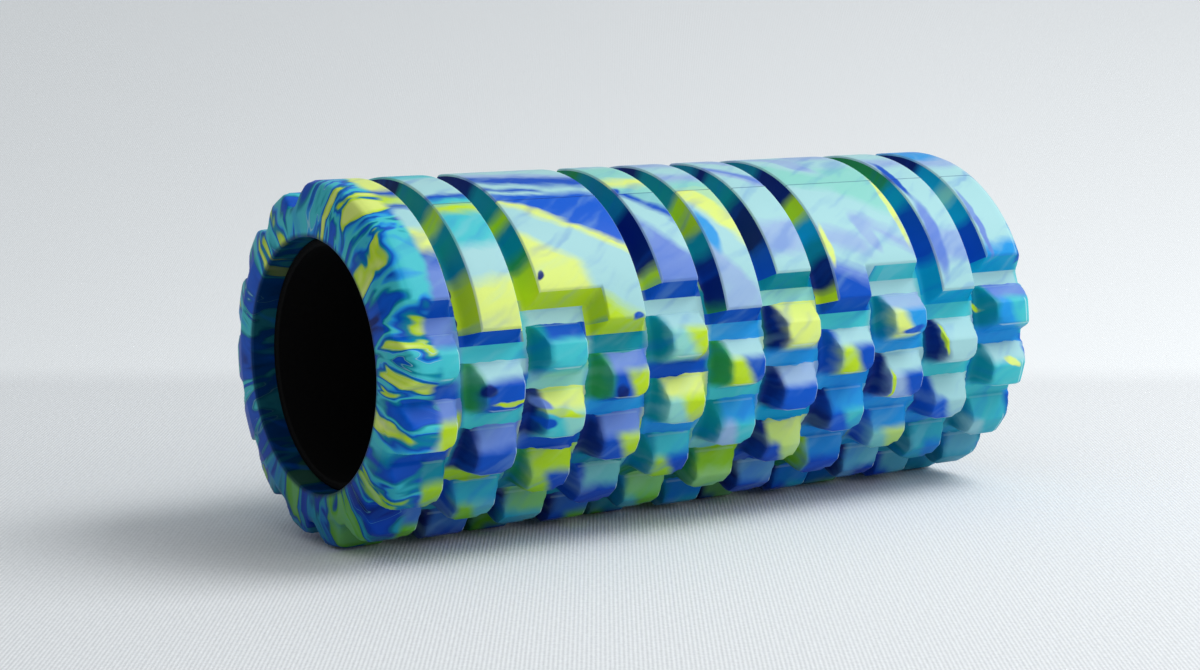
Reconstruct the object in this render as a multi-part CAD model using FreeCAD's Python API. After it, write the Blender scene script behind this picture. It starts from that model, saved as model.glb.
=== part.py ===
import FreeCAD, Part
import math
import os

from FreeCAD import Vector

# Patterned massage roller: a moulded foam sleeve bonded round a rigid hollow core.
#
# Frame: +X is the roller's axis, +Z is up and the origin is the middle of the axis.
# The roller lies on its side, so its lowest crowns touch the plane z = -CROWN_RADIUS.
# Angles round the axis are in degrees, from +Z (top) towards -Y (front).

# Whole roller (mm)
ROLLER_LENGTH = 310.0
CROWN_RADIUS = 70.0        # tops of the strips and knobs
RELIEF = 9.0               # depth of the grooves below the crowns
SLEEVE_BORE_RADIUS = 48.7

# Core tube: it stops short of the sleeve at both ends
CORE_OUTER_RADIUS = 48.6   # leaves 0.1 mm for the adhesive film
CORE_WALL = 3.2
CORE_RECESS = 9.2
CORE_EDGE_CHAMFER = 0.8

# Columns of the pattern, counted along the axis
COLUMN_COUNT = 11
COLUMN_PITCH = 28.05
CROWN_WIDTH = 17.0         # along the axis, the same for strips and knobs
WALL_DRAFT = 3.0           # how far a side wall spreads from crown to groove

# Rounded shoulder at each end, from the last crowns down to the flat end face
SHOULDER_LENGTH = 6.25
END_FACE_RADIUS = 58.0
SHOULDER_BULGE = 1.2

# Smooth zone of long strips, centred on the mould's parting line
SEAM_ANGLE = 28.0
ODD_STRIP_HALF_ANGLE = 36.0
EVEN_STRIP_HALF_ANGLE = 46.75
STRIP_END_SLOPE_ANGLE = 4.3
WIDE_PAD_COLUMNS = ((3, 4), (9, 8))   # (short column, long column) of each pad

# Knobs fill the rest of the way round, mirrored about the parting line
KNOB_PITCH = 22.42
ODD_KNOB_COUNT = 12
EVEN_KNOB_COUNT = 11
KNOB_HALF_CROWN_ANGLE = 3.9
KNOB_FACET_ANGLE = 6.3     # the sloped facet on the side nearer the strips
KNOB_LIP_ANGLE = 0.6
KNOB_LIP_RADIUS = 63.0
KNOB_BACK_SLOPE_ANGLE = 3.3
ROOT_DEPTH = 3.0           # how far strips and knobs reach into the sleeve's wall

GROOVE_RADIUS = CROWN_RADIUS - RELIEF
ROOT_RADIUS = GROOVE_RADIUS - ROOT_DEPTH
HALF_LENGTH = ROLLER_LENGTH / 2
BEYOND_CROWN = 2 * CROWN_RADIUS
AXIS_START = Vector(-HALF_LENGTH, 0, 0)
AXIS = Vector(1, 0, 0)


def column_centre(column):
    """Middle of a column along the axis; columns run from 1 to COLUMN_COUNT."""
    return (column - (COLUMN_COUNT + 1) / 2) * COLUMN_PITCH


def left_side(column):
    """Where a column's left wall meets the crown, and its spread down to the groove."""
    if column == 1:
        return -HALF_LENGTH, 0.0
    return column_centre(column) - CROWN_WIDTH / 2, WALL_DRAFT


def right_side(column):
    """The same for its right wall. The outer columns run to the roller's ends."""
    if column == COLUMN_COUNT:
        return HALF_LENGTH, 0.0
    return column_centre(column) + CROWN_WIDTH / 2, WALL_DRAFT


def on_circle(x, radius, angle):
    """The point at this place along the axis, radius and angle."""
    turn = math.radians(angle)
    return Vector(x, -radius * math.sin(turn), radius * math.cos(turn))


def crown_ring(x_left, x_right, left_draft, right_draft):
    """A full ring of trapezoid section, from its root in the wall to its crown."""
    outline = [
        Vector(x_left - left_draft, 0, ROOT_RADIUS),
        Vector(x_left - left_draft, 0, GROOVE_RADIUS),
        Vector(x_left, 0, CROWN_RADIUS),
        Vector(x_right, 0, CROWN_RADIUS),
        Vector(x_right + right_draft, 0, GROOVE_RADIUS),
        Vector(x_right + right_draft, 0, ROOT_RADIUS),
    ]
    outline.append(outline[0])
    section = Part.Face(Part.makePolygon(outline))
    return section.revolve(Vector(0, 0, 0), AXIS, 360)


def strip_sector(half_angle):
    """A prism about the parting line whose two sides slope outwards from the crown."""
    foot_angle = half_angle + STRIP_END_SLOPE_ANGLE

    def end_line(side):
        crown = on_circle(-HALF_LENGTH, CROWN_RADIUS, SEAM_ANGLE + side * half_angle)
        foot = on_circle(-HALF_LENGTH, GROOVE_RADIUS, SEAM_ANGLE + side * foot_angle)
        slope = (crown - foot).normalize()
        return foot - slope * (2 * ROOT_DEPTH), crown + slope * CROWN_RADIUS

    first_low, first_high = end_line(-1)
    last_low, last_high = end_line(1)
    apex = on_circle(-HALF_LENGTH, BEYOND_CROWN, SEAM_ANGLE)
    corners = [AXIS_START, first_low, first_high, apex, last_high, last_low, AXIS_START]
    return Part.Face(Part.makePolygon(corners)).extrude(AXIS * ROLLER_LENGTH)


def strip(first_column, last_column, half_angle):
    """One strip of the smooth zone, across one column or several."""
    x_left, left_draft = left_side(first_column)
    x_right, right_draft = right_side(last_column)
    ring = crown_ring(x_left, x_right, left_draft, right_draft)
    return ring.common(strip_sector(half_angle))


def knob(column, angle_from_seam, facet_sides):
    """One knob. facet_sides holds -1, 1 or both: the sides with the gentle facet."""
    facet_foot = KNOB_HALF_CROWN_ANGLE + KNOB_FACET_ANGLE
    back_foot = KNOB_HALF_CROWN_ANGLE + KNOB_BACK_SLOPE_ANGLE
    root = back_foot

    def flank(side):
        if side in facet_sides:
            return [
                (KNOB_HALF_CROWN_ANGLE, CROWN_RADIUS),
                (facet_foot, KNOB_LIP_RADIUS),
                (facet_foot + KNOB_LIP_ANGLE, GROOVE_RADIUS),
                (root, ROOT_RADIUS),
            ]
        return [
            (KNOB_HALF_CROWN_ANGLE, CROWN_RADIUS),
            (back_foot, GROOVE_RADIUS),
            (root, ROOT_RADIUS),
        ]

    start = [(-angle, radius) for angle, radius in reversed(flank(-1))]
    profile = start + flank(1)

    x_left, left_draft = left_side(column)
    x_right, right_draft = right_side(column)
    left_outline = []
    right_outline = []
    for angle, radius in profile:
        height = radius * math.cos(math.radians(angle))
        drop = (CROWN_RADIUS - height) / RELIEF
        place = SEAM_ANGLE + angle_from_seam + angle
        left_outline.append(on_circle(x_left - left_draft * drop, radius, place))
        right_outline.append(on_circle(x_right + right_draft * drop, radius, place))
    return prism_between(left_outline, right_outline)


def prism_between(left_outline, right_outline):
    """The solid whose two ends are these outlines, joined corner by corner."""
    count = len(left_outline)
    loops = [left_outline, right_outline]
    for i in range(count):
        j = (i + 1) % count
        loops.append([left_outline[i], left_outline[j], right_outline[j], right_outline[i]])
    faces = [Part.Face(Part.makePolygon(loop + [loop[0]])) for loop in loops]
    solid = Part.Solid(Part.Shell(faces))
    if solid.Volume < 0:
        solid.reverse()
    return solid


def all_strips():
    """The ribs of single columns, and the wide pads that each span two."""
    shapes = []
    in_a_pad = [column for pad in WIDE_PAD_COLUMNS for column in pad]
    for column in range(1, COLUMN_COUNT + 1):
        if column not in in_a_pad:
            odd = column % 2 == 1
            half_angle = ODD_STRIP_HALF_ANGLE if odd else EVEN_STRIP_HALF_ANGLE
            shapes.append(strip(column, column, half_angle))
    for short_column, long_column in WIDE_PAD_COLUMNS:
        first = min(short_column, long_column)
        last = max(short_column, long_column)
        shapes.append(strip(first, last, ODD_STRIP_HALF_ANGLE))
        shapes.append(strip(long_column, long_column, EVEN_STRIP_HALF_ANGLE))
    return shapes


def all_knobs():
    """Staggered rows of knobs; each faces its facet towards the strips."""
    shapes = []
    for column in range(1, COLUMN_COUNT + 1):
        count = ODD_KNOB_COUNT if column % 2 == 1 else EVEN_KNOB_COUNT
        first_angle = 180 - (count - 1) * KNOB_PITCH / 2
        for index in range(count):
            angle = first_angle + index * KNOB_PITCH
            if abs(angle - 180) < KNOB_PITCH / 4:
                facet_sides = (-1, 1)
            elif angle < 180:
                facet_sides = (-1,)
            else:
                facet_sides = (1,)
            shapes.append(knob(column, angle, facet_sides))
    return shapes


def envelope():
    """The solid of revolution that rounds the roller's two shoulders."""
    shoulder_x = HALF_LENGTH - SHOULDER_LENGTH
    middle_x = HALF_LENGTH - SHOULDER_LENGTH / 2 + SHOULDER_BULGE
    middle_radius = (CROWN_RADIUS + END_FACE_RADIUS) / 2 + SHOULDER_BULGE

    def shoulder(side):
        return Part.Arc(
            Vector(side * HALF_LENGTH, 0, END_FACE_RADIUS),
            Vector(side * middle_x, 0, middle_radius),
            Vector(side * shoulder_x, 0, CROWN_RADIUS),
        ).toShape()

    left_crown = Vector(-shoulder_x, 0, CROWN_RADIUS)
    right_crown = Vector(shoulder_x, 0, CROWN_RADIUS)
    end_faces = [
        Vector(HALF_LENGTH, 0, END_FACE_RADIUS),
        Vector(HALF_LENGTH, 0, 0),
        Vector(-HALF_LENGTH, 0, 0),
        Vector(-HALF_LENGTH, 0, END_FACE_RADIUS),
    ]
    edges = [shoulder(-1), Part.makeLine(left_crown, right_crown), shoulder(1)]
    edges += [Part.makeLine(end_faces[i], end_faces[i + 1]) for i in range(3)]
    outline = Part.Wire(Part.sortEdges(edges)[0])
    return Part.Face(outline).revolve(Vector(0, 0, 0), AXIS, 360)


def foam_sleeve():
    """One closed-cell foam moulding: wall, strips and knobs, open right through."""
    wall = Part.makeCylinder(GROOVE_RADIUS, ROLLER_LENGTH, AXIS_START, AXIS)
    patterned = wall.multiFuse(all_strips() + all_knobs()).common(envelope())
    bore = Part.makeCylinder(SLEEVE_BORE_RADIUS, ROLLER_LENGTH, AXIS_START, AXIS)
    return patterned.cut(bore)


def core_tube():
    """Rigid plastic tube inside the sleeve, chamfered at its four edges."""
    length = ROLLER_LENGTH - 2 * CORE_RECESS
    start = Vector(-length / 2, 0, 0)
    outer = Part.makeCylinder(CORE_OUTER_RADIUS, length, start, AXIS)
    inner = Part.makeCylinder(CORE_OUTER_RADIUS - CORE_WALL, length, start, AXIS)
    tube = outer.cut(inner)
    circles = [edge for edge in tube.Edges if isinstance(edge.Curve, Part.Circle)]
    return tube.makeChamfer(CORE_EDGE_CHAMFER, circles)


os.makedirs("parts", exist_ok=True)
for name, shape in (("foam_sleeve", foam_sleeve()), ("core_tube", core_tube())):
    solids = shape.Solids
    print(name, "solids", len(solids), "valid", shape.isValid(), "cm3", round(shape.Volume / 1000, 1))
    solids[0].exportStep(f"parts/{name}.step")
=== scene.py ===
import math

import bpy
import numpy as np
from mathutils import Matrix, Vector


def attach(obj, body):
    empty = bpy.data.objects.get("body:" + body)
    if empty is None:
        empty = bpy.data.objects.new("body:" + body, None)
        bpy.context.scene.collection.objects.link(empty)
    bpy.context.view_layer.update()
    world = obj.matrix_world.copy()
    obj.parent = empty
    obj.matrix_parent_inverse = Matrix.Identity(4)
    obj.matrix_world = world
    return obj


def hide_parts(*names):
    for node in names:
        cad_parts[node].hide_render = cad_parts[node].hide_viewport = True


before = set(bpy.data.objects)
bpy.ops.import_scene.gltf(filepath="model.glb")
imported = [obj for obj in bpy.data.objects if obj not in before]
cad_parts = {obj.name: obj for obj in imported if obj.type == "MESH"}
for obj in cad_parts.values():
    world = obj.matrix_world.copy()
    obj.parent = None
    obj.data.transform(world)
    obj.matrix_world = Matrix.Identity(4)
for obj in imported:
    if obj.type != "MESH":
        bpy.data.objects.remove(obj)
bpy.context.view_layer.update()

# Foam massage roller on a pale floor. The roller's axis is +X, with the origin at its
# middle. Angles round the axis are in degrees from +Z towards -Y; pattern sizes are in
# millimetres, as in the CAD model, and become metres where a mesh is made.

MM = 0.001

# Pattern of the sleeve (mm and degrees)
HALF_LENGTH = 155.0
CROWN_RADIUS = 70.0
RELIEF = 9.0
BORE_RADIUS = 48.7
COLUMN_COUNT = 11
COLUMN_PITCH = 28.05
CROWN_WIDTH = 17.0
WALL_DRAFT = 3.0
SHOULDER_LENGTH = 6.25
END_FACE_RADIUS = 58.0
SHOULDER_BULGE = 3.36
SEAM_ANGLE = 28.0
STRIP_HALF_ANGLE = {1: 36.0, 0: 46.75}      # by column parity: odd, even
STRIP_END_SLOPE = 4.3
WIDE_PADS = ((3, 4), (9, 8))                # (short column, long column)
KNOB_PITCH = 22.42
KNOB_COUNT = {1: 12, 0: 11}
KNOB_HALF_CROWN = 3.9
KNOB_FACET = 6.3
KNOB_LIP = 0.6
KNOB_LIP_HEIGHT = 2.0
KNOB_BACK_SLOPE = 3.3

GROOVE_RADIUS = CROWN_RADIUS - RELIEF
ROW_PITCH = KNOB_PITCH / 2
FIRST_ROW = 180 - (KNOB_COUNT[1] - 1) * ROW_PITCH
FIRST_LIP = FIRST_ROW - KNOB_HALF_CROWN - KNOB_FACET - KNOB_LIP
LEFT_EDGE = -COLUMN_COUNT / 2 * COLUMN_PITCH        # of the first column's cell, along x
PAD_MIDDLE = 2.5 * COLUMN_PITCH                     # of the wide pads, on either side of x = 0
CROWN_SHARE = CROWN_WIDTH / COLUMN_PITCH
HALF_GAP = (1 - CROWN_SHARE) / 2                    # from a cell's edge to the crown
PAD_COLUMNS = [column for pad in WIDE_PADS for column in pad]

# Softness of the moulding (mm)
EDGE_ROUND = 1.1
FACET_ROUND = 0.9
LIP_ROUND = 0.5
RIDGE_ROUND = 1.4
FLOOR_FILLET = 2.6
SHOULDER_ROUND = 2.2
SEAM_RIDGE = 0.16
RIM_ROUND = 0.9
CORNER_ROUND = 13.0              # of the knobs' two lower corners, seen from above


# ---------------------------------------------------------------- sleeve's shape

def smooth_min(a, b, size):
    """The lower of two heights, rounded where they meet."""
    blend = np.clip(size - np.abs(a - b), 0, None) / size
    return np.minimum(a, b) - blend * blend * size / 4


def smooth_max(a, b, size):
    return -smooth_min(-a, -b, size)


def column_centre(column):
    return (column - (COLUMN_COUNT + 1) / 2) * COLUMN_PITCH


def side_height(x, first, last):
    """Height allowed by the two side walls of a strip or knob over these columns."""
    height = np.full_like(x, 2 * RELIEF)
    if first > 1:
        inside = x - (column_centre(first) - CROWN_WIDTH / 2)
        height = np.minimum(height, RELIEF * (1 + inside / WALL_DRAFT))
    if last < COLUMN_COUNT:
        inside = column_centre(last) + CROWN_WIDTH / 2 - x
        height = np.minimum(height, RELIEF * (1 + inside / WALL_DRAFT))
    return height


def strip_height(x, turn, first, last, half_angle):
    """A strip centred on the parting line; turn is the angle from that line."""
    sides = side_height(x, first, last)
    end = RELIEF * (1 + (half_angle - turn) / STRIP_END_SLOPE)
    body = smooth_min(sides, end, RIDGE_ROUND)
    return smooth_min(body, np.full_like(body, RELIEF), EDGE_ROUND)


def knob_height(x, turn, column, row_angle):
    """A knob whose gentle facet and crisp lip are on the side nearer the strips."""
    beyond = turn - row_angle
    facet_drop = RELIEF - KNOB_LIP_HEIGHT
    facet = RELIEF - facet_drop * (-KNOB_HALF_CROWN - beyond) / KNOB_FACET
    lip_foot = KNOB_HALF_CROWN + KNOB_FACET + KNOB_LIP
    lip = KNOB_LIP_HEIGHT * (beyond + lip_foot) / KNOB_LIP
    back = RELIEF * (1 + (KNOB_HALF_CROWN - beyond) / KNOB_BACK_SLOPE)
    body = smooth_min(facet, lip, LIP_ROUND)
    body = smooth_min(body, back, EDGE_ROUND)
    sides = side_height(x, column, column)
    body = smooth_min(body, sides, RIDGE_ROUND)
    body = np.minimum(body, smooth_min(back, sides, CORNER_ROUND))
    return smooth_min(body, np.full_like(body, RELIEF), FACET_ROUND)


def shoulder_height(x):
    """Height above the grooves allowed by the rounded shoulders at both ends."""
    from_end = HALF_LENGTH - np.abs(x)
    along = np.clip(from_end / SHOULDER_LENGTH, 0, 3)
    straight = END_FACE_RADIUS + (CROWN_RADIUS - END_FACE_RADIUS) * along
    bulge = SHOULDER_BULGE * np.sin(math.pi * np.clip(along, 0, 1))
    return straight + bulge - GROOVE_RADIUS


def surface_height(x, turn):
    """Height of the foam above the groove radius, for arrays of x and turn."""
    tallest = np.full_like(x, -3.0)
    for column in range(1, COLUMN_COUNT + 1):
        half = STRIP_HALF_ANGLE[column % 2]
        if column not in PAD_COLUMNS:
            tallest = np.maximum(tallest, strip_height(x, turn, column, column, half))
        for index in range(KNOB_COUNT[column % 2]):
            row_angle = 180 - (KNOB_COUNT[column % 2] - 1) * ROW_PITCH + index * KNOB_PITCH
            if row_angle < 180.1:
                tallest = np.maximum(tallest, knob_height(x, turn, column, row_angle))
    for short, long in WIDE_PADS:
        first, last = sorted((short, long))
        pad = strip_height(x, turn, first, last, STRIP_HALF_ANGLE[1])
        tail = strip_height(x, turn, long, long, STRIP_HALF_ANGLE[0])
        tallest = np.maximum(tallest, np.maximum(pad, tail))
    height = smooth_max(tallest, np.zeros_like(tallest), FLOOR_FILLET)
    return smooth_min(height, shoulder_height(x), SHOULDER_ROUND)


LEAST_GAP = 0.2                  # between the mesh's lines, mm along the axis
LEAST_TURN = 0.28                # and degrees round it


def merged(lines, least_gap):
    """Sorted lines, without those closer than least_gap to the one before."""
    kept = []
    for value in sorted(lines):
        if not kept or value - kept[-1] >= least_gap:
            kept.append(value)
    return kept


def lines_along():
    """Grid lines along the axis, close together at every wall and shoulder."""
    wall = (-0.5, 0.0, 0.4, 1.4, 2.4, 3.1, 4.0)
    crown = (-4.5, 0.0, 4.5)
    shoulder = (0.0, 0.25, 0.8, 1.6, 2.6, 3.7, 4.8, 5.7, 6.4, 7.6)
    lines = [side * (HALF_LENGTH - step) for side in (-1, 1) for step in shoulder]
    for column in range(1, COLUMN_COUNT + 1):
        centre = column_centre(column)
        lines += [centre + step for step in crown]
        if column > 1:
            lines += [centre - CROWN_WIDTH / 2 - step for step in wall]
            lines.append(centre - COLUMN_PITCH / 2)
        if column < COLUMN_COUNT:
            lines += [centre + CROWN_WIDTH / 2 + step for step in wall]
    return merged(lines, LEAST_GAP)


def lines_round():
    """Grid lines round the axis, as angles from the parting line, both ways."""
    knob = (-11.2, -10.75, -10.45, -10.15, -9.7, -8.3, -6.2, -4.5, -3.9, -3.3,
            3.3, 3.9, 4.6, 5.6, 6.6, 7.3, 8.1)
    strip_end = (-0.6, 0.0, 0.5, 1.5, 2.9, 3.9, 4.5, 5.3)
    half = [0.13, 0.35]
    half += list(range(3, int(STRIP_HALF_ANGLE[1]), 3))
    for parity in (0, 1):
        half += [STRIP_HALF_ANGLE[parity] + step for step in strip_end]
    for row in range(KNOB_COUNT[1]):
        half += [FIRST_ROW + row * ROW_PITCH + step for step in knob]
    half = [angle for angle in merged(half, LEAST_TURN) if angle < 179.8]
    return [0.0] + half + [180.0] + [360 - angle for angle in reversed(half)]


def foam_sleeve():
    """The sleeve as one closed mesh: pattern, shoulders, end faces and bore."""
    along = np.array(lines_along())
    round_lines = np.array(lines_round())
    x, angle = np.meshgrid(along, round_lines, indexing="ij")
    turn = np.minimum(angle, 360 - angle)
    radius = GROOVE_RADIUS + surface_height(x, turn)
    on_strips = (turn < 0.05) & (np.abs(x) < HALF_LENGTH - SHOULDER_LENGTH)
    radius = radius + SEAM_RIDGE * on_strips
    rings = [(x[i], radius[i]) for i in range(len(along))]

    def flat_ring(at, ring_radius):
        return np.full(len(round_lines), at), np.full(len(round_lines), ring_radius)

    def end_rings(side):
        """From the end face inwards, round the bore's edge and into the bore."""
        outer = radius[0] if side < 0 else radius[-1]
        rim = BORE_RADIUS + RIM_ROUND
        yield np.full(len(round_lines), side * HALF_LENGTH), outer * 0.55 + rim * 0.45
        for step in range(4):
            tilt = math.radians(30 * step)
            at = side * (HALF_LENGTH - RIM_ROUND * (1 - math.cos(tilt)))
            yield flat_ring(at, rim - RIM_ROUND * math.sin(tilt))

    loop = list(reversed(list(end_rings(-1)))) + rings + list(end_rings(1))
    vertices = []
    for ring_x, ring_radius in loop:
        theta = np.radians(round_lines + SEAM_ANGLE)
        points = np.stack([ring_x, -ring_radius * np.sin(theta), ring_radius * np.cos(theta)], 1)
        vertices.append(points * MM)
    count = len(round_lines)
    total = len(loop)
    faces = []
    for i in range(total):
        after = (i + 1) % total
        for j in range(count):
            beside = (j + 1) % count
            faces.append((i * count + j, after * count + j,
                          after * count + beside, i * count + beside))
    mesh = bpy.data.meshes.new("foam_sleeve_surface")
    mesh.from_pydata(np.concatenate(vertices).tolist(), [], faces)
    mesh.update()
    mesh.shade_smooth()
    piece = bpy.data.objects.new("foam_sleeve_surface", mesh)
    bpy.context.collection.objects.link(piece)
    weigh = piece.modifiers.new("weigh", "WEIGHTED_NORMAL")
    weigh.keep_sharp = True
    return piece


sleeve = foam_sleeve()


# ---------------------------------------------------------------- materials

class Graph:
    """Short calls for building a material's nodes."""

    def __init__(self, name):
        self.material = bpy.data.materials.new(name)
        self.material.use_nodes = True
        self.tree = self.material.node_tree
        self.shader = self.tree.nodes["Principled BSDF"]

    def node(self, kind, **settings):
        made = self.tree.nodes.new(kind)
        for key, value in settings.items():
            setattr(made, key, value)
        return made

    def feed(self, socket, value):
        if isinstance(value, bpy.types.NodeSocket):
            self.tree.links.new(value, socket)
        elif value is not None:
            socket.default_value = value

    def math(self, operation, a, b=None, c=None):
        made = self.node("ShaderNodeMath", operation=operation)
        for socket, value in zip(made.inputs, (a, b, c)):
            self.feed(socket, value)
        return made.outputs[0]

    def vector(self, operation, a, b=None, c=None):
        made = self.node("ShaderNodeVectorMath", operation=operation)
        for socket, value in zip(made.inputs, (a, b, c)):
            self.feed(socket, value)
        return made.outputs["Value" if operation in ("LENGTH", "DOT_PRODUCT") else "Vector"]

    def noise(self, vector, scale, detail=2.0, roughness=0.5, colour=False):
        made = self.node("ShaderNodeTexNoise")
        self.feed(made.inputs["Vector"], vector)
        made.inputs["Scale"].default_value = scale
        made.inputs["Detail"].default_value = detail
        made.inputs["Roughness"].default_value = roughness
        return made.outputs[1 if colour else 0]

    def step(self, value, low, high):
        """0 below low and 1 above high, smooth between."""
        made = self.node("ShaderNodeMapRange", interpolation_type="SMOOTHSTEP")
        self.feed(made.inputs["Value"], value)
        made.inputs["From Min"].default_value = low
        made.inputs["From Max"].default_value = high
        return made.outputs["Result"]

    def ramp(self, value, stops):
        made = self.node("ShaderNodeValToRGB")
        self.feed(made.inputs["Fac"], value)
        points = made.color_ramp.elements
        points.remove(points[1])
        points[0].position = stops[0][0]
        points[0].color = (*stops[0][1], 1)
        for place, colour in stops[1:]:
            points.new(place).color = (*colour, 1)
        return made.outputs["Color"]

    def bump(self, height, strength, distance):
        """A normal roughened by height, for a shader's Normal socket."""
        made = self.node("ShaderNodeBump")
        made.inputs["Strength"].default_value = strength
        made.inputs["Distance"].default_value = distance
        self.feed(made.inputs["Height"], height)
        return made.outputs["Normal"]

    def mix(self, factor, a, b):
        made = self.node("ShaderNodeMix", data_type="RGBA")
        self.feed(made.inputs[0], factor)
        self.feed(made.inputs[6], (*a, 1) if isinstance(a, tuple) else a)
        self.feed(made.inputs[7], (*b, 1) if isinstance(b, tuple) else b)
        return made.outputs[2]


def srgb(red, green, blue):
    """Linear colour from everyday 0-255 values."""
    def linear(value):
        value /= 255
        return value / 12.92 if value <= 0.04045 else ((value + 0.055) / 1.055) ** 2.4
    return linear(red), linear(green), linear(blue)


NAVY = srgb(0, 34, 112)
# colour of the painted shade on the bore's wall
BORE_SHADE_COLOUR = srgb(0, 40, 66)
BLUE = srgb(0, 78, 188)
ROYAL = srgb(0, 88, 204)
SKY = srgb(34, 150, 222)
LAVENDER = srgb(104, 136, 210)
TEAL = srgb(0, 138, 158)
CYAN = srgb(0, 160, 206)
AQUA = srgb(66, 192, 202)
PALE = srgb(163, 211, 215)
SEAFOAM = srgb(138, 208, 198)
GREEN = srgb(40, 144, 84)
# colour of the painted highlights on edges
PAINTED_HIGHLIGHT = srgb(206, 236, 236)
MIST = srgb(150, 180, 217)
LIME = srgb(186, 220, 36)
PALE_LIME = srgb(218, 236, 124)

# Colours of the strips, as (angle where it starts, colour) from the top downwards.
# Each list goes with how far its edges slant, in degrees per mm along the axis, above
# and below the parting line.
STRIP_PAINT = {
    1: (0, 0, [(-20, PALE_LIME), (17, BLUE), (21, LIME), (26, BLUE), (29, PALE),
               (38, PALE_LIME), (47, BLUE), (53, LAVENDER)]),
    2: (0, 0, [(-20, AQUA), (6, PALE), (22.5, BLUE), (25, AQUA), (28.5, LIME), (33, AQUA),
               (47, PALE), (59, PALE_LIME)]),
    3: (0.15, 0.55, [(-20, PALE), (7, MIST), (11, BLUE), (18, PALE), (21.5, BLUE), (23.6, PALE),
                     (25.5, ROYAL), (38.5, PALE_LIME), (42, PALE), (56, PALE_LIME)]),
    4: (0.15, 0.45, [(-20, PALE), (7, MIST), (11.5, BLUE), (19, PALE), (24.5, ROYAL),
                     (40, PALE_LIME), (42.5, PALE), (66, LIME)]),
    5: (0, 0.87, [(-20, PALE), (4, SEAFOAM), (18, PALE_LIME), (23, SEAFOAM), (30, BLUE),
                  (36, PALE), (48, LAVENDER)]),
    6: (0, 1.0, [(-20, MIST), (8, PALE), (17, MIST), (23, SEAFOAM), (29, PALE_LIME),
                 (43, PALE), (60, MIST)]),
    7: (0.87, 0, [(-20, MIST), (4, PALE), (16, LAVENDER), (21, MIST), (24, PALE), (44, MIST),
                  (57, PALE)]),
    8: (0.6, 0.2, [(-20, PALE), (5, MIST), (14, PALE), (24, SEAFOAM), (32, PALE),
                   (53, MIST), (60, PALE), (66, LAVENDER), (71, BLUE)]),
    9: (0, 0.5, [(-20, MIST), (8, PALE), (18, SEAFOAM), (36, PALE), (44, MIST), (49, PALE)]),
    10: (0, 0, [(-20, PALE), (10, MIST), (18, PALE), (52, MIST), (64, PALE)]),
    11: (0, 0, [(-20, SKY), (12, MIST), (20, PALE), (60, SKY)]),
}

# The same for the wall on each strip's left.
WALL_PAINT = {
    1: [(-20, BLUE), (30, AQUA), (44, LIME), (54, NAVY)],
    2: [(-20, NAVY), (8, TEAL), (28, LIME), (36, TEAL), (56, LIME), (76, GREEN)],
    3: [(-20, NAVY), (15, TEAL), (31, LIME), (37, TEAL), (49, GREEN), (54, LIME)],
    4: [(-20, TEAL), (60, LIME), (76, TEAL)],
    5: [(-20, GREEN), (6, TEAL), (35, NAVY), (59, LIME), (65, TEAL)],
    6: [(-20, NAVY), (8, TEAL), (31, LIME), (46, TEAL), (55, NAVY), (72, GREEN)],
    7: [(-20, TEAL), (7, NAVY), (14, TEAL), (31, NAVY), (52, BLUE)],
    8: [(-20, TEAL), (12, NAVY), (33, LIME), (43, CYAN), (52, TEAL), (60, NAVY), (71, LIME)],
    9: [(-20, TEAL), (60, AQUA)],
    10: [(-20, GREEN), (28, CYAN), (40, BLUE), (62, CYAN)],
    11: [(-20, NAVY), (16, CYAN), (30, SEAFOAM), (38, CYAN), (48, BLUE)],
}

# One colour per column: the strips' lower ends, and the grooves below them.
STRIP_END_PAINT = [BLUE, BLUE, LIME, LIME, BLUE, BLUE, TEAL, BLUE, AQUA, CYAN, CYAN]
FIRST_GROOVE_PAINT = [LAVENDER, AQUA, PALE, TEAL, PALE, SKY, SEAFOAM, AQUA, PALE, AQUA, PALE]

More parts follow.
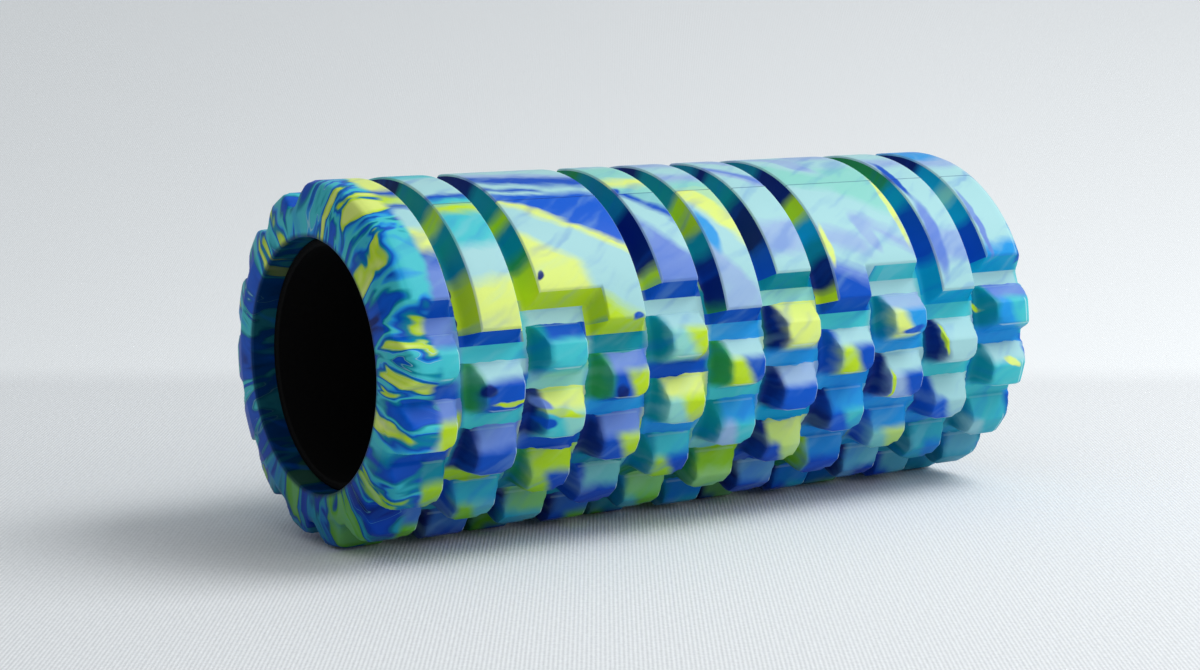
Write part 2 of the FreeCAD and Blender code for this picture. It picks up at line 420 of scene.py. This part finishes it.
# One colour per column for three rows of knobs, which the other rows repeat, shifted:
# the facet, the crown's left and right, the left wall and the groove below.
KNOB_PAINT = [
    {
        "facet": [LAVENDER, PALE, BLUE, LAVENDER, PALE, PALE, PALE_LIME, PALE, MIST, PALE, LAVENDER],
        "left": [AQUA, BLUE, AQUA, BLUE, SEAFOAM, LIME, PALE_LIME, LIME, PALE_LIME, PALE, SKY],
        "right": [AQUA, BLUE, AQUA, LIME, LIME, BLUE, PALE_LIME, BLUE, SKY, PALE, AQUA],
        "wall": [BLUE, GREEN, TEAL, GREEN, TEAL, GREEN, NAVY, BLUE, TEAL, NAVY, TEAL],
        "groove": [BLUE, AQUA, SEAFOAM, SKY, BLUE, AQUA, SKY, SKY, SKY, AQUA, SKY],
    },
    {
        "facet": [LAVENDER, LAVENDER, PALE_LIME, LAVENDER, PALE_LIME, SKY, MIST, SKY, PALE, PALE, PALE],
        "left": [PALE, BLUE, AQUA, BLUE, SEAFOAM, MIST, ROYAL, ROYAL, MIST, ROYAL, AQUA],
        "right": [LIME, BLUE, SEAFOAM, LIME, LIME, AQUA, ROYAL, AQUA, BLUE, PALE, AQUA],
        "wall": [AQUA, NAVY, NAVY, NAVY, TEAL, TEAL, NAVY, NAVY, NAVY, BLUE, TEAL],
        "groove": [BLUE, LIME, BLUE, TEAL, SKY, SEAFOAM, CYAN, SKY, SKY, SKY, AQUA],
    },
    {
        "facet": [TEAL, AQUA, LIME, SEAFOAM, AQUA, LIME, PALE_LIME, SKY, SKY, AQUA, AQUA],
        "left": [BLUE, LIME, LIME, BLUE, LIME, PALE_LIME, BLUE, ROYAL, SEAFOAM, AQUA, PALE],
        "right": [LIME, SEAFOAM, BLUE, BLUE, BLUE, PALE_LIME, PALE_LIME, ROYAL, PALE_LIME, SKY, AQUA],
        "wall": [LIME, BLUE, GREEN, BLUE, TEAL, GREEN, NAVY, LIME, BLUE, TEAL, TEAL],
        "groove": [BLUE, AQUA, TEAL, AQUA, GREEN, GREEN, BLUE, GREEN, CYAN, AQUA, AQUA],
    },
]

# Single blots on top: x, angle, half length, half width, slant in degrees, colour
STRIP_BLOTS = [
    (-91.5, 60.0, 2.6, 0.9, 115, NAVY),
    (-51.0, 75.0, 2.6, 1.0, 15, BLUE),
    (-38.0, 27.0, 3.0, 3.6, 60, BLUE),
    (-6.0, 48.0, 9.0, 3.0, 80, SKY),
    (49.0, 56.0, 1.8, 8.0, 0, PALE_LIME),
    (91.6, 42.0, 1.6, 14.0, 0, PALE_LIME),
    (72.0, 52.0, 9.0, 2.6, 70, MIST),
    (64.0, 13.0, 10.0, 3.0, 60, MIST),
    (105.4, 26.0, 1.9, 12.0, 0, BLUE),
    (106.5, 54.0, 3.4, 15.0, 0, LAVENDER),
    (133.4, 50.0, 1.5, 14.0, 0, LAVENDER),
    (-148.0, 35.0, 2.6, 7.0, 10, BLUE),
    (-151.0, 48.0, 3.0, 4.5, 0, LIME),
]
KNOB_BLOTS = [
    (-60.0, 96.0, 3.4, 2.2, 60, NAVY),
    (-115.0, 76.5, 4.0, 1.2, -5, GREEN),
    (-118.5, 94.0, 3.0, 2.0, 20, NAVY),
    (-108.0, 98.6, 8.5, 0.8, 0, LIME),
    (-92.0, 101.0, 4.2, 1.8, 25, LAVENDER),
    (-91.0, 106.5, 3.4, 1.3, 0, BLUE),
    (-84.0, 103.3, 8.0, 1.2, 0, LIME),
    (77.0, 105.0, 0.9, 4.0, 0, LIME),
    (104.0, 93.0, 0.9, 4.4, 0, LIME),
    (127.5, 83.0, 2.6, 0.9, 55, LIME),
    (143.0, 102.0, 4.0, 1.2, 20, PALE_LIME),
    (86.0, 87.6, 6.5, 1.4, -5, BLUE),
    (-144.0, 107.0, 3.6, 3.2, 0, LIME),
]

UNDERSIDE = (106.0, 148.0)       # degrees from the top over which painted shade darkens the colours
# how far the painted shade on the underside scales each colour channel
UNDERSIDE_SHADE = (0.20, 0.49, 0.66)
# strength of the painted highlights along the knobs' edges
KNOB_HIGHLIGHT_STRENGTH = 0.42
LIP_FAINTNESS = 0.3              # of the lips' painted highlights beside those of the other edges
# strength of the painted highlights along the strips' crown edges
STRIP_HIGHLIGHT_STRENGTH = 0.2
CROWN_HAZE = 0.28                # strength of the pale streaks on strips and on knobs
KNOB_HAZE = 0.16
BLUE_STREAKS = 0.34
SWIRL_RING = 70.0                # mm: radius of the ring that the swirl's noise is laid on
SWIRL_STRETCH = 0.42             # of the noise along the profile; less is more drawn out
PARTING_DARKNESS = 0.55
# strength of the painted shade on the bore's wall, inside the end's recess
BORE_SHADE_STRENGTH = 0.82
LEFT_SWIRL = (-137.0, -141.0)    # x over which the swirl of each end sets in
RIGHT_SWIRL = (150.0, 154.0)
PAINT_SOFTNESS = 2.4             # degrees over which one colour turns into the next
PAD_SLANT_CENTRE = 70.1          # mm from x = 0, about which a pad's slanted colours turn
PAD_BLEND = 4.0                  # mm over which a pad's two columns blend
BORDER_BLEND = 0.3
DEGREE_ARC = math.radians(CROWN_RADIUS)      # mm of crown per degree


class Foam(Graph):
    """The marbled foam: where a point lies on the pattern, and what is painted there."""

    def __init__(self):
        super().__init__("marbled_foam")
        self.place = self.node("ShaderNodeTexCoord").outputs["Object"]
        x, y, z = self.split(self.place)
        self.real_x = self.math("MULTIPLY", x, 1 / MM)
        angle = self.math("ARCTAN2", self.math("MULTIPLY", y, -1.0), z)
        self.real_angle = self.math("DEGREES", angle)
        across = self.node("ShaderNodeCombineXYZ")
        self.feed(across.inputs[1], y)
        self.feed(across.inputs[2], z)
        self.radius = self.math("DIVIDE", self.vector("LENGTH", across.outputs[0]), MM)

        broad = self.split(self.noise(self.place, 30, 2, 0.55, colour=True))
        small = self.split(self.noise(self.place, 110, 2, 0.5, colour=True))
        busy = self.step(self.math("ABSOLUTE", self.real_x), 122, 146)
        push = self.math("ADD", 8.0, self.math("MULTIPLY", busy, 7.0))
        self.x = self.shifted(self.real_x, broad[0], small[0], push, 3.2)
        self.angle = self.shifted(self.real_angle, broad[1], small[1], push, 3.0)
        flat = self.node("ShaderNodeCombineXYZ")
        self.feed(flat.inputs[0], self.x)
        self.feed(flat.inputs[1], self.math("MULTIPLY", self.angle, DEGREE_ARC))
        self.flat = flat.outputs[0]
        feather = self.math("SUBTRACT", self.brushed(24, 30, 4.5, 0.6), 0.5)
        self.angle = self.math("MULTIPLY_ADD", feather, 3.5, self.angle)
        self.x = self.math("MULTIPLY_ADD", feather, -2.0, self.x)

        steadier = self.math("MULTIPLY_ADD", self.math("SUBTRACT", self.angle, self.real_angle), 0.45,
                             self.real_angle)
        from_seam = self.math("SUBTRACT", steadier, SEAM_ANGLE)
        self.from_seam = self.math("WRAP", from_seam, 180.0, -180.0)
        self.turn = self.math("ABSOLUTE", self.from_seam)
        # Where painted shade darkens the underside: 0 above it, 1 well below
        self.low = self.step(self.math("ABSOLUTE", self.angle), *UNDERSIDE)

        brush = self.brushed(-32, 38, 8, 0.5)
        self.pale_streaks = self.step(brush, 0.50, 0.74)
        self.blue_streaks = self.math("MULTIPLY", self.step(brush, 0.50, 0.26), BLUE_STREAKS)
        grain = self.noise(self.place, 1800, 2, 0.6)
        dimple = self.noise(self.place, 160, 2, 0.5)
        self.normal = self.bump(self.math("MULTIPLY_ADD", grain, 0.25, dimple), 0.2, 0.0005)

    def brushed(self, slant, length, width, roughness):
        """Noise drawn out in one direction over the unrolled surface: degrees and mm."""
        drawn = self.node("ShaderNodeMapping", vector_type="TEXTURE")
        self.feed(drawn.inputs["Vector"], self.flat)
        drawn.inputs["Rotation"].default_value = (0, 0, math.radians(slant))
        drawn.inputs["Scale"].default_value = (length, width, 10)
        return self.noise(drawn.outputs[0], 1.0, 2, roughness)

    def cell(self, x):
        """How many columns x is from the left edge: whole part the column, rest the place in it."""
        return self.math("DIVIDE", self.math("SUBTRACT", x, LEFT_EDGE), COLUMN_PITCH)

    def stagger(self, column):
        """How much further down the knobs of every other column sit, in degrees."""
        return self.math("MULTIPLY", self.math("MODULO", column, 2.0), ROW_PITCH)

    def split(self, vector):
        made = self.node("ShaderNodeSeparateXYZ")
        self.feed(made.inputs[0], vector)
        return made.outputs[0], made.outputs[1], made.outputs[2]

    def shifted(self, value, broad, small, broad_size, small_size):
        """value moved about by the two noises, each centred on nought."""
        moved = self.math("MULTIPLY_ADD", self.math("SUBTRACT", broad, 0.5), broad_size, value)
        return self.math("MULTIPLY_ADD", self.math("SUBTRACT", small, 0.5), small_size, moved)

    def bands(self, value, paint, low=-20.0, high=90.0):
        """Colours in bands along value, each turning softly into the next."""
        span = high - low
        share = self.math("DIVIDE", self.math("SUBTRACT", value, low), span)
        ends = [start for start, _ in paint[1:]] + [high]
        stops = [(0.0, paint[0][1])]
        for (start, colour), (previous, before), end in zip(paint[1:], paint, ends[1:]):
            soft = min(PAINT_SOFTNESS, 0.42 * (end - start), 0.42 * (start - previous))
            stops.append(((start - low - soft) / span, before))
            stops.append(((start - low + soft) / span, colour))
        return self.ramp(share, stops)

    def by_column(self, share, colours):
        """One colour per column, where share runs from 0 to 1 along the columns."""
        stops = [(0.0, colours[0])]
        for index in range(1, len(colours)):
            stops.append(((index - 0.07) / len(colours), colours[index - 1]))
            stops.append(((index + 0.07) / len(colours), colours[index]))
        return self.ramp(share, stops)

    def strips(self, paint_of):
        """The strips' colours, column after column from the left."""
        colour = paint_of(1)
        for column in range(2, COLUMN_COUNT + 1):
            border = column_centre(column) - COLUMN_PITCH / 2
            in_pad = (column - 1, column) in WIDE_PADS or (column, column - 1) in WIDE_PADS
            soft = PAD_BLEND if in_pad else BORDER_BLEND
            colour = self.mix(self.step(self.x, border - soft, border + soft), colour, paint_of(column))
        return colour

    def strip_crown(self, column):
        """The colours of one strip's crown, which slant on either side of the parting line."""
        above, below, paint = STRIP_PAINT[column]
        middle = column_centre(column)
        if column in PAD_COLUMNS:
            middle = math.copysign(PAD_SLANT_CENTRE, middle)
        off = self.math("SUBTRACT", self.x, middle)
        upper = self.math("MULTIPLY_ADD", off, -above, self.angle)
        upper = self.math("MINIMUM", upper, SEAM_ANGLE - 0.4)
        lower = self.math("MULTIPLY_ADD", off, -below, self.angle)
        lower = self.math("MAXIMUM", lower, SEAM_ANGLE + 0.4)
        under = self.math("GREATER_THAN", self.real_angle, SEAM_ANGLE)
        slanted = self.math("ADD", self.math("MULTIPLY", under, lower),
                            self.math("MULTIPLY", self.math("SUBTRACT", 1.0, under), upper))
        return self.bands(slanted, paint)

    def strip_wall(self, column):
        """The colours of the wall on one strip's left."""
        return self.bands(self.angle, WALL_PAINT[column])

    def knobs(self, mirrored_x):
        """The knobs' colours, from each point's place within its knob's cell."""
        cell = self.cell(mirrored_x)
        across = self.math("FRACT", cell)
        stagger = self.stagger(self.math("FLOOR", cell))
        down = self.math("SUBTRACT", self.math("SUBTRACT", self.turn, FIRST_LIP), stagger)
        row = self.math("DIVIDE", down, KNOB_PITCH)
        within = self.math("FRACT", row)
        row = self.math("FLOOR", row)
        later = self.math("GREATER_THAN", row, len(KNOB_PAINT) - 0.5)
        share = self.math("FRACT", self.math("DIVIDE", cell, COLUMN_COUNT))
        repeated = self.math("ADD", row, later)
        kind = self.math("MODULO", self.math("MAXIMUM", repeated, 0.0), len(KNOB_PAINT))
        facet_end = (KNOB_FACET + KNOB_LIP) / KNOB_PITCH
        crown_end = facet_end + (2 * KNOB_HALF_CROWN + KNOB_BACK_SLOPE * 0.6) / KNOB_PITCH
        slanted = self.math("MULTIPLY_ADD", self.math("SUBTRACT", within, 0.45), -0.5, across)
        for index, paint in enumerate(KNOB_PAINT):
            crown = self.mix(self.step(slanted, 0.41, 0.61), self.by_column(share, paint["left"]),
                             self.by_column(share, paint["right"]))
            whole = self.mix(self.step(within, facet_end - 0.13, facet_end + 0.02),
                             self.by_column(share, paint["facet"]), crown)
            whole = self.mix(self.step(across, HALF_GAP - 0.07, HALF_GAP + 0.10),
                             self.by_column(share, paint["wall"]), whole)
            whole = self.mix(self.step(within, crown_end - 0.10, crown_end + 0.08),
                             whole, self.by_column(share, paint["groove"]))
            if index == 0:
                colour = whole
            else:
                chosen = self.math("GREATER_THAN", kind, index - 0.5)
                colour = self.mix(chosen, colour, whole)
        # painted shade on the underside
        colour = self.painted_underside_shade(colour)
        above = self.by_column(share, FIRST_GROOVE_PAINT)
        return self.mix(self.math("GREATER_THAN", down, 0.0), above, colour)

    def line(self, value, centre, half_width):
        """1 on a thin line where value is centre, and 0 away from it."""
        off = self.math("ABSOLUTE", self.math("SUBTRACT", value, centre))
        return self.step(off, half_width, half_width * 0.3)

    def near_crown(self):
        """1 on the crowns, and 0 where the surface has dropped well below them."""
        return self.step(self.radius, CROWN_RADIUS - 1.6, CROWN_RADIUS - 0.8)

    def painted_knob_highlights(self, behind):
        """Painted highlights along the knobs' edges: lip, right side and lower side."""
        cell = self.cell(self.math("MULTIPLY", self.real_x, behind))
        across = self.math("FRACT", cell)
        stagger = self.stagger(self.math("FLOOR", cell))
        turned = self.math("WRAP", self.math("SUBTRACT", self.real_angle, SEAM_ANGLE), 180.0, -180.0)
        past_lip = self.math("SUBTRACT", self.math("ABSOLUTE", turned), FIRST_LIP)
        down = self.math("SUBTRACT", past_lip, stagger)
        within = self.math("FRACT", self.math("DIVIDE", down, KNOB_PITCH))
        crown_foot = (KNOB_LIP + KNOB_FACET + 2 * KNOB_HALF_CROWN) / KNOB_PITCH
        outline = self.math("MAXIMUM", self.line(across, 1 - HALF_GAP, 0.022),
                            self.line(within, crown_foot, 0.022))
        outline = self.math("MULTIPLY", outline, self.near_crown())
        beside = self.step(self.math("ABSOLUTE", self.math("SUBTRACT", across, 0.5)), 0.36, 0.32)
        lip = self.math("MULTIPLY", self.line(within, 0.9 * KNOB_LIP / KNOB_PITCH, 0.014), beside)
        lip = self.math("MULTIPLY", lip, LIP_FAINTNESS)
        return self.math("MULTIPLY", self.math("MAXIMUM", outline, lip), KNOB_HIGHLIGHT_STRENGTH)

    def painted_strip_highlights(self):
        """Painted highlights along the edges of the strips' crowns, left out inside the wide pads."""
        across = self.math("FRACT", self.cell(self.real_x))
        off = self.math("ABSOLUTE", self.math("SUBTRACT", across, 0.5))
        edge = self.line(off, CROWN_SHARE / 2, 0.02)
        from_pad = self.math("SUBTRACT", self.math("ABSOLUTE", self.real_x), PAD_MIDDLE)
        outside = self.math("GREATER_THAN", self.math("ABSOLUTE", from_pad), COLUMN_PITCH / 2)
        highlight_strength = self.math("MULTIPLY", outside, STRIP_HIGHLIGHT_STRENGTH)
        return self.math("MULTIPLY", self.math("MULTIPLY", edge, self.near_crown()), highlight_strength)

    def blot(self, colour, x, angle, length, width, slant, tint):
        """One soft-edged blot over colour."""
        oval = self.node("ShaderNodeMapping", vector_type="TEXTURE")
        self.feed(oval.inputs["Vector"], self.flat)
        oval.inputs["Location"].default_value = (x, angle * DEGREE_ARC, 0)
        oval.inputs["Rotation"].default_value = (0, 0, math.radians(slant))
        oval.inputs["Scale"].default_value = (length, width * DEGREE_ARC, 1)
        inside = self.step(self.vector("LENGTH", oval.outputs[0]), 1.3, 0.7)
        return self.mix(inside, colour, tint)

    def swirl(self):
        """Colours drawn out along the profile of an end, from the bore over the rim."""
        _, y, z = self.split(self.place)
        from_end = self.math("SUBTRACT", HALF_LENGTH, self.math("ABSOLUTE", self.real_x))
        outside = self.math("MULTIPLY_ADD", self.math("GREATER_THAN", self.radius, 54.0), 2.0, -1.0)
        along = self.math("MULTIPLY_ADD", from_end, outside, self.radius)
        ring = self.node("ShaderNodeCombineXYZ")
        for axis, part in ((0, y), (1, z)):
            share = self.math("DIVIDE", part, self.radius)
            self.feed(ring.inputs[axis], self.math("MULTIPLY", share, SWIRL_RING))
        drawn = self.math("MULTIPLY", along, SWIRL_STRETCH * MM)
        apart = self.math("MULTIPLY_ADD", self.math("SIGN", self.real_x), 40 * MM, drawn)
        self.feed(ring.inputs[2], apart)
        where = ring.outputs[0]
        for scale, reach in ((24, 0.036), (60, 0.016), (160, 0.006)):
            drift = self.noise(where, scale, 1, 0.5, colour=True)
            drift = self.vector("SUBTRACT", drift, (0.5, 0.5, 0.5))
            where = self.vector("MULTIPLY_ADD", drift, (reach, reach, reach), where)
        flow = self.noise(where, 52, 2, 0.5)
        colour = self.ramp(flow, [
            (0.29, NAVY), (0.36, BLUE), (0.42, ROYAL), (0.445, BLUE), (0.47, TEAL), (0.495, AQUA),
            (0.525, AQUA), (0.55, SKY), (0.57, BLUE), (0.595, TEAL), (0.615, LIME), (0.67, PALE_LIME),
        ])
        rings = self.math("PINGPONG", self.math("MULTIPLY", flow, 26.0), 1.0)
        hairline = self.step(rings, 0.12, 0.03)
        shown = self.step(self.noise(where, 30, 1, 0.5), 0.5, 0.6)
        hairline = self.math("MULTIPLY", self.math("MULTIPLY", hairline, shown), 0.6)
        colour = self.mix(hairline, colour, PALE)
        # painted shade towards the bottom of each end
        return self.painted_underside_shade(colour)

    def painted_underside_shade(self, colour):
        """The same colour, darkened on the underside by painted shade."""
        return self.mix(self.low, colour, self.vector("MULTIPLY", colour, UNDERSIDE_SHADE))

    def finish(self, colour, highlights=0.0, haze=0.0):
        """A foam surface of this colour, with the soft streaks of its neighbours and painted highlights
        where asked.
        """
        if haze:
            colour = self.mix(self.math("MULTIPLY", self.pale_streaks, haze), colour, PALE)
        colour = self.mix(self.blue_streaks, colour, ROYAL)
        # painted highlights
        colour = self.mix(highlights, colour, PAINTED_HIGHLIGHT)
        shader = self.node("ShaderNodeBsdfPrincipled")
        self.feed(shader.inputs["Base Color"], colour)
        shader.inputs["Roughness"].default_value = 0.42
        shader.inputs["Specular IOR Level"].default_value = 0.1
        self.feed(shader.inputs["Normal"], self.normal)
        return shader.outputs[0]

    def choose(self, mask, a, b):
        """Shader a where mask is 0, and shader b where it is 1."""
        made = self.node("ShaderNodeMixShader")
        self.feed(made.inputs[0], mask)
        self.feed(made.inputs[1], a)
        self.feed(made.inputs[2], b)
        return made.outputs[0]

    def blotted(self, colour, blots):
        """The colour with each of these blots over it."""
        for blot in blots:
            colour = self.blot(colour, *blot)
        return colour


def strip_surfaces(foam, cell, real_turn):
    """The strips' shader: their crowns and ends, and the walls on their left."""
    odd_column = foam.math("LESS_THAN", foam.math("MODULO", foam.math("FLOOR", cell), 2.0), 0.5)
    longer = STRIP_HALF_ANGLE[1] - STRIP_HALF_ANGLE[0]
    crown_end = foam.math("MULTIPLY_ADD", odd_column, longer, STRIP_HALF_ANGLE[0] + 0.4)
    past_end = foam.math("GREATER_THAN", real_turn, crown_end)
    strip_end = foam.by_column(foam.math("DIVIDE", cell, COLUMN_COUNT), STRIP_END_PAINT)

    crowns = foam.mix(past_end, foam.strips(foam.strip_crown), strip_end)
    crowns = foam.blotted(crowns, STRIP_BLOTS)
    parting = foam.math("MULTIPLY", foam.step(real_turn, 0.3, 0.08), PARTING_DARKNESS)
    # The crowns' edges get painted highlights.
    crowns = foam.finish(foam.mix(parting, crowns, NAVY), foam.painted_strip_highlights(), CROWN_HAZE)
    walls = foam.finish(foam.mix(past_end, foam.strips(foam.strip_wall), strip_end))

    beside_crown = foam.math("LESS_THAN", foam.math("FRACT", cell), HALF_GAP - 0.005)
    deep = foam.math("LESS_THAN", foam.radius, CROWN_RADIUS - 0.9)
    strips = foam.choose(foam.math("MULTIPLY", beside_crown, deep), crowns, walls)
    slope_end = foam.math("ADD", crown_end, STRIP_END_SLOPE - 0.4)
    return strips, foam.math("GREATER_THAN", real_turn, slope_end)


def knob_surfaces(foam):
    """The knobs' shader, mirrored behind the parting lines."""
    behind = foam.math("SIGN", foam.from_seam)
    colour = foam.knobs(foam.math("MULTIPLY", foam.x, behind))
    # The knobs' edges get painted highlights.
    return foam.finish(foam.blotted(colour, KNOB_BLOTS), foam.painted_knob_highlights(behind), KNOB_HAZE)


def end_surfaces(foam):
    """The shader of both ends and the bore, and where it is used."""
    left = foam.step(foam.x, *LEFT_SWIRL)
    right = foam.step(foam.x, *RIGHT_SWIRL)
    inner = foam.step(foam.radius, 58.5, 56.0)
    # Painted shade on the bore's wall, inside the end face's recess
    bore_shade = foam.math("MULTIPLY", foam.step(foam.radius, 51.0, 49.0), BORE_SHADE_STRENGTH)
    shader = foam.finish(foam.mix(bore_shade, foam.swirl(), BORE_SHADE_COLOUR))
    return shader, foam.math("MAXIMUM", foam.math("MAXIMUM", left, right), inner)


def marbled_foam():
    """One shader for each kind of surface, since a single one would hold too many nodes."""
    foam = Foam()
    cell = foam.cell(foam.real_x)
    real_turn = foam.math("ABSOLUTE", foam.math("SUBTRACT", foam.real_angle, SEAM_ANGLE))
    strips, past_slope = strip_surfaces(foam, cell, real_turn)
    middle = foam.choose(past_slope, strips, knob_surfaces(foam))
    ends, near_end = end_surfaces(foam)
    whole = foam.choose(near_end, middle, ends)
    foam.feed(foam.tree.nodes["Material Output"].inputs["Surface"], whole)
    foam.tree.nodes.remove(foam.shader)
    return foam.material


# Black plastic, darker than real plastic: partly painted shade, so that the lit inside of the bore
# stays near-black.
BLACK = (0.0025, 0.0025, 0.0027)
SOOT = (0.0045, 0.0045, 0.0047)


def core_plastic():
    """Matt black plastic with a fine speckle, darker than real black plastic: partly painted shade, so
    the inside of the bore stays near-black.
    """
    graph = Graph("core_plastic")
    place = graph.node("ShaderNodeTexCoord").outputs["Object"]
    speckle = graph.noise(place, 900, 2, 0.6)
    colour = graph.ramp(speckle, [(0.3, BLACK), (0.7, SOOT)])
    graph.feed(graph.shader.inputs["Base Color"], colour)
    graph.shader.inputs["Roughness"].default_value = 0.75
    graph.shader.inputs["Specular IOR Level"].default_value = 0.12
    graph.feed(graph.shader.inputs["Normal"], graph.bump(speckle, 0.2, 0.0003))
    return graph.material


sleeve.data.materials.append(marbled_foam())
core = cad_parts["core_tube"]
core.data.materials.clear()
core.data.materials.append(core_plastic())

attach(sleeve, "root")
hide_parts("foam_sleeve")


# ---------------------------------------------------------------- floor, light, camera

TABLE_BACK = 0.34                # m behind the roller's middle
THREAD_PITCH = 0.0015


def pale_cloth():
    """The fine weave of a table cloth, and the paler wall beyond the table's back edge."""
    graph = Graph("pale_cloth")
    place = graph.node("ShaderNodeTexCoord").outputs["Object"]
    parts = graph.node("ShaderNodeSeparateXYZ")
    graph.feed(parts.inputs[0], place)
    warp = graph.math("SINE", graph.math("MULTIPLY", parts.outputs[0], math.tau / THREAD_PITCH))
    weft = graph.math("SINE", graph.math("MULTIPLY", parts.outputs[1], math.tau / THREAD_PITCH))
    weave = graph.math("MULTIPLY_ADD", weft, 0.35, warp)
    uneven = graph.noise(place, 500, 2, 0.6)
    height = graph.math("MULTIPLY_ADD", weave, 0.2, uneven)
    table = graph.ramp(height, [(0.1, srgb(219, 222, 225)), (0.9, srgb(243, 246, 248))])
    beyond = graph.step(parts.outputs[1], TABLE_BACK - 0.03, TABLE_BACK + 0.05)
    tone = graph.mix(beyond, table, srgb(244, 247, 249))
    graph.feed(graph.shader.inputs["Base Color"], tone)
    graph.shader.inputs["Roughness"].default_value = 0.9
    graph.shader.inputs["Specular IOR Level"].default_value = 0.1
    graph.feed(graph.shader.inputs["Normal"], graph.bump(height, 0.35, 0.0005))
    return graph.material


def floor_sweep():
    """A floor that curves up gently into a backdrop behind the roller."""
    level = -CROWN_RADIUS * MM
    half_width = 5.0
    front = -3.0
    bend = 2.4
    steps = 24
    profile = [(front, 0.0), (TABLE_BACK, 0.0)]
    for step in range(1, steps + 1):
        turn = math.radians(90 * step / steps)
        profile.append((TABLE_BACK + bend * math.sin(turn), bend * (1 - math.cos(turn))))
    vertices = [(x, y, level + z) for y, z in profile for x in (-half_width, half_width)]
    faces = [(2 * i, 2 * i + 1, 2 * i + 3, 2 * i + 2) for i in range(len(profile) - 1)]
    mesh = bpy.data.meshes.new("floor_sweep")
    mesh.from_pydata(vertices, [], faces)
    mesh.shade_smooth()
    floor = bpy.data.objects.new("floor_sweep", mesh)
    bpy.context.collection.objects.link(floor)
    floor.rotation_euler.z = -YAW
    floor.data.materials.append(pale_cloth())
    return floor


# Camera: where it stands comes from how far off it is and which way it looks
YAW = math.radians(34.69)        # from +Y towards +X
TILT = math.radians(7.64)        # downwards
CAMERA_DISTANCE = 1.0575
CAMERA_SIDESTEP = -0.01837       # along its own right
CAMERA_LENS = 77.02


def add_camera():
    forward = Vector((math.sin(YAW) * math.cos(TILT), math.cos(YAW) * math.cos(TILT), -math.sin(TILT)))
    right = Vector((math.cos(YAW), -math.sin(YAW), 0))
    up = right.cross(forward)
    data = bpy.data.cameras.new("camera")
    data.lens = CAMERA_LENS
    data.sensor_width = 36
    data.clip_end = 50
    camera = bpy.data.objects.new("camera", data)
    bpy.context.collection.objects.link(camera)
    turn = Matrix((right, up, -forward)).transposed().to_4x4()
    spot = -forward * CAMERA_DISTANCE + right * CAMERA_SIDESTEP
    camera.matrix_world = Matrix.Translation(spot) @ turn
    bpy.context.scene.camera = camera
    return camera


def area_light(name, spot, target, size, watts):
    data = bpy.data.lights.new(name, "AREA")
    data.shape = "RECTANGLE"
    data.size, data.size_y = size
    data.energy = watts
    lamp = bpy.data.objects.new(name, data)
    bpy.context.collection.objects.link(lamp)
    lamp.location = spot
    lamp.rotation_euler = (Vector(target) - Vector(spot)).to_track_quat("-Z", "Y").to_euler()
    return lamp


add_camera()
floor_sweep()
area_light("key", (0.8, -0.55, 1.3), (0, 0, 0), (0.9, 0.9), 16.5)
area_light("front", (0.55, -1.5, 0.75), (0, 0, 0), (1.0, 0.8), 4.5)


def soft_room():
    """Even light from all round, strongest from above and the right."""
    world = bpy.data.worlds.new("studio")
    world.use_nodes = True
    tree = world.node_tree
    background = tree.nodes["Background"]
    background.inputs["Color"].default_value = (*srgb(236, 239, 241), 1)
    way = tree.nodes.new("ShaderNodeTexCoord")
    lean = tree.nodes.new("ShaderNodeVectorMath")
    lean.operation = "DOT_PRODUCT"
    lean.inputs[1].default_value = (0.55, -0.4, 0.73)
    strength = tree.nodes.new("ShaderNodeMapRange")
    strength.inputs["From Min"].default_value = -0.8
    strength.inputs["From Max"].default_value = 0.9
    strength.inputs["To Min"].default_value = 0.12
    strength.inputs["To Max"].default_value = 0.68
    tree.links.new(way.outputs["Generated"], lean.inputs[0])
    tree.links.new(lean.outputs["Value"], strength.inputs["Value"])
    tree.links.new(strength.outputs["Result"], background.inputs["Strength"])
    return world


world = soft_room()
bpy.context.scene.world = world
bpy.context.scene.view_settings.view_transform = "Standard"
